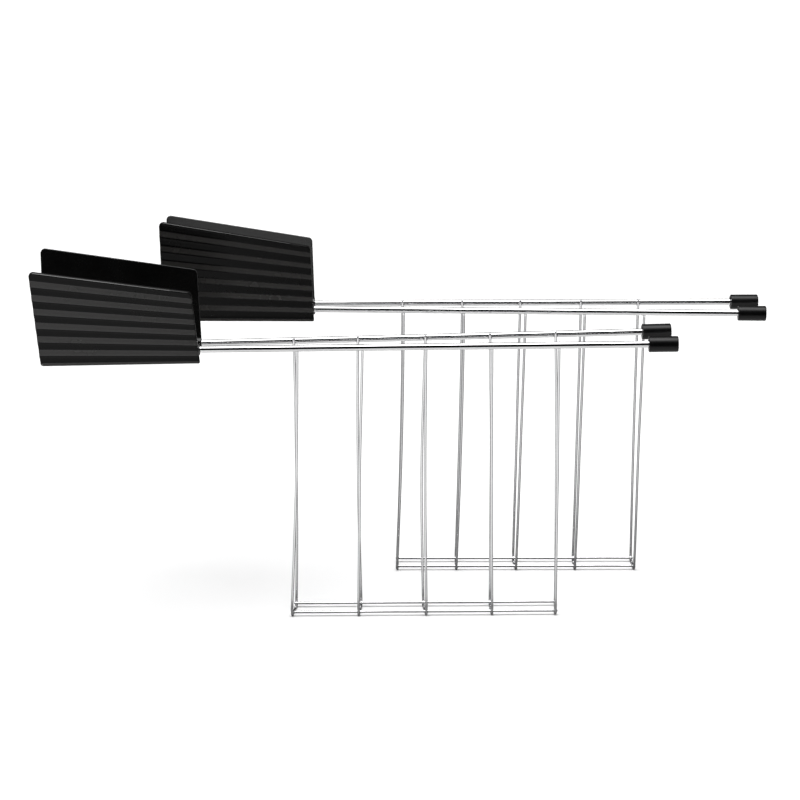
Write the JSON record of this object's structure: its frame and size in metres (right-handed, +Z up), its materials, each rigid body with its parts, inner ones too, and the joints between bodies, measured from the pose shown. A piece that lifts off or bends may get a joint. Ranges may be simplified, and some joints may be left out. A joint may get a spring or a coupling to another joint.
{
  "type": "toast rack",
  "caption": "Pair of long-handled wire toast racks: a sprung wire basket hung from two round rods, with a two-wing squeeze handle and soft tip caps.",
  "frame": {"origin": "on the table under the middle of rack 1's basket", "axes": "+X along rack 1's middle plane towards the tip caps, +Z up, -Y towards the near side"},
  "size_m": [0.3711, 0.1351, 0.1912],
  "materials": {
    "rod_chrome": "polished",
    "wire_chrome": "polished",
    "handle_plastic": "satin moulded",
    "cap_rubber": "satin"
  },
  "bodies": {
    "rack1_base": {"rack1_near_rail": "wire_chrome", "rack1_far_rail": "wire_chrome", "rack1_u_wire_1_base": "wire_chrome", "rack1_u_wire_2_base": "wire_chrome", "rack1_u_wire_3_base": "wire_chrome", "rack1_u_wire_4_base": "wire_chrome", "rack1_u_wire_5_base": "wire_chrome"},
    "rack1_near_side": {"rack1_near_rod": "rod_chrome", "rack1_near_tip_cap": "cap_rubber", "rack1_near_leg_1": "wire_chrome", "rack1_near_leg_2": "wire_chrome", "rack1_near_leg_3": "wire_chrome", "rack1_near_leg_4": "wire_chrome", "rack1_near_leg_5": "wire_chrome"},
    "rack1_near_handle": {"rack1_near_wing": "handle_plastic"},
    "rack1_far_side": {"rack1_far_rod": "rod_chrome", "rack1_far_tip_cap": "cap_rubber", "rack1_far_leg_1": "wire_chrome", "rack1_far_leg_2": "wire_chrome", "rack1_far_leg_3": "wire_chrome", "rack1_far_leg_4": "wire_chrome", "rack1_far_leg_5": "wire_chrome"},
    "rack1_far_handle": {"rack1_far_wing": "handle_plastic"},
    "rack2_base": {"rack2_near_rail": "wire_chrome", "rack2_far_rail": "wire_chrome", "rack2_u_wire_1_base": "wire_chrome", "rack2_u_wire_2_base": "wire_chrome", "rack2_u_wire_3_base": "wire_chrome", "rack2_u_wire_4_base": "wire_chrome", "rack2_u_wire_5_base": "wire_chrome"},
    "rack2_near_side": {"rack2_near_rod": "rod_chrome", "rack2_near_tip_cap": "cap_rubber", "rack2_near_leg_1": "wire_chrome", "rack2_near_leg_2": "wire_chrome", "rack2_near_leg_3": "wire_chrome", "rack2_near_leg_4": "wire_chrome", "rack2_near_leg_5": "wire_chrome"},
    "rack2_near_handle": {"rack2_near_wing": "handle_plastic"},
    "rack2_far_side": {"rack2_far_rod": "rod_chrome", "rack2_far_tip_cap": "cap_rubber", "rack2_far_leg_1": "wire_chrome", "rack2_far_leg_2": "wire_chrome", "rack2_far_leg_3": "wire_chrome", "rack2_far_leg_4": "wire_chrome", "rack2_far_leg_5": "wire_chrome"},
    "rack2_far_handle": {"rack2_far_wing": "handle_plastic"}
  },
  "joints": [
    {"name": "rack1_near_flex", "type": "hinge", "parent": "rack1_base", "child": "rack1_near_side", "pos_m": [0, -0.0085, 0.004], "axis": [1, 0, 0], "range_deg": [0, 1.28]},
    {"name": "rack1_far_flex", "type": "hinge", "parent": "rack1_base", "child": "rack1_far_side", "pos_m": [0, 0.0085, 0.004], "axis": [-1, 0, 0], "range_deg": [0, 1.28]},
    {"name": "rack1_near_wing_pivot", "type": "hinge", "parent": "rack1_near_side", "child": "rack1_near_handle", "pos_m": [-0.14991, -0.0059, 0.13828], "axis": [-0.9994, 0.032, -0.0148], "range_deg": [0, 16]},
    {"name": "rack1_far_wing_pivot", "type": "hinge", "parent": "rack1_far_side", "child": "rack1_far_handle", "pos_m": [-0.14991, 0.0059, 0.13828], "axis": [0.9994, 0.032, 0.0148], "range_deg": [0, 16]},
    {"name": "rack2_lift", "type": "slide", "parent": "rack1_base", "child": "rack2_base", "axis": [0, 0, 1], "range_m": [0, 0.25]},
    {"name": "rack2_near_flex", "type": "hinge", "parent": "rack2_base", "child": "rack2_near_side", "pos_m": [0.05518, 0.065, 0.004], "axis": [0.9999, -0.0143, 0], "range_deg": [0, 1.28]},
    {"name": "rack2_far_flex", "type": "hinge", "parent": "rack2_base", "child": "rack2_far_side", "pos_m": [0.05542, 0.082, 0.004], "axis": [-0.9999, 0.0143, 0], "range_deg": [0, 1.28]},
    {"name": "rack2_near_wing_pivot", "type": "hinge", "parent": "rack2_near_side", "child": "rack2_near_handle", "pos_m": [-0.0947, 0.06944, 0.14337], "axis": [-0.9989, 0.0463, 0.0038], "range_deg": [0, 16]},
    {"name": "rack2_far_wing_pivot", "type": "hinge", "parent": "rack2_far_side", "child": "rack2_far_handle", "pos_m": [-0.09452, 0.08185, 0.14337], "axis": [0.9998, 0.0177, -0.0038], "range_deg": [0, 16]}
  ],
  "couplings": [
    {"joint": "rack1_far_wing_pivot", "follows": "rack1_near_wing_pivot", "ratio": 1},
    {"joint": "rack1_near_flex", "follows": "rack1_near_wing_pivot", "ratio": 0.08},
    {"joint": "rack1_far_flex", "follows": "rack1_near_wing_pivot", "ratio": 0.08},
    {"joint": "rack2_far_wing_pivot", "follows": "rack2_near_wing_pivot", "ratio": 1},
    {"joint": "rack2_near_flex", "follows": "rack2_near_wing_pivot", "ratio": 0.08},
    {"joint": "rack2_far_flex", "follows": "rack2_near_wing_pivot", "ratio": 0.08}
  ]
}
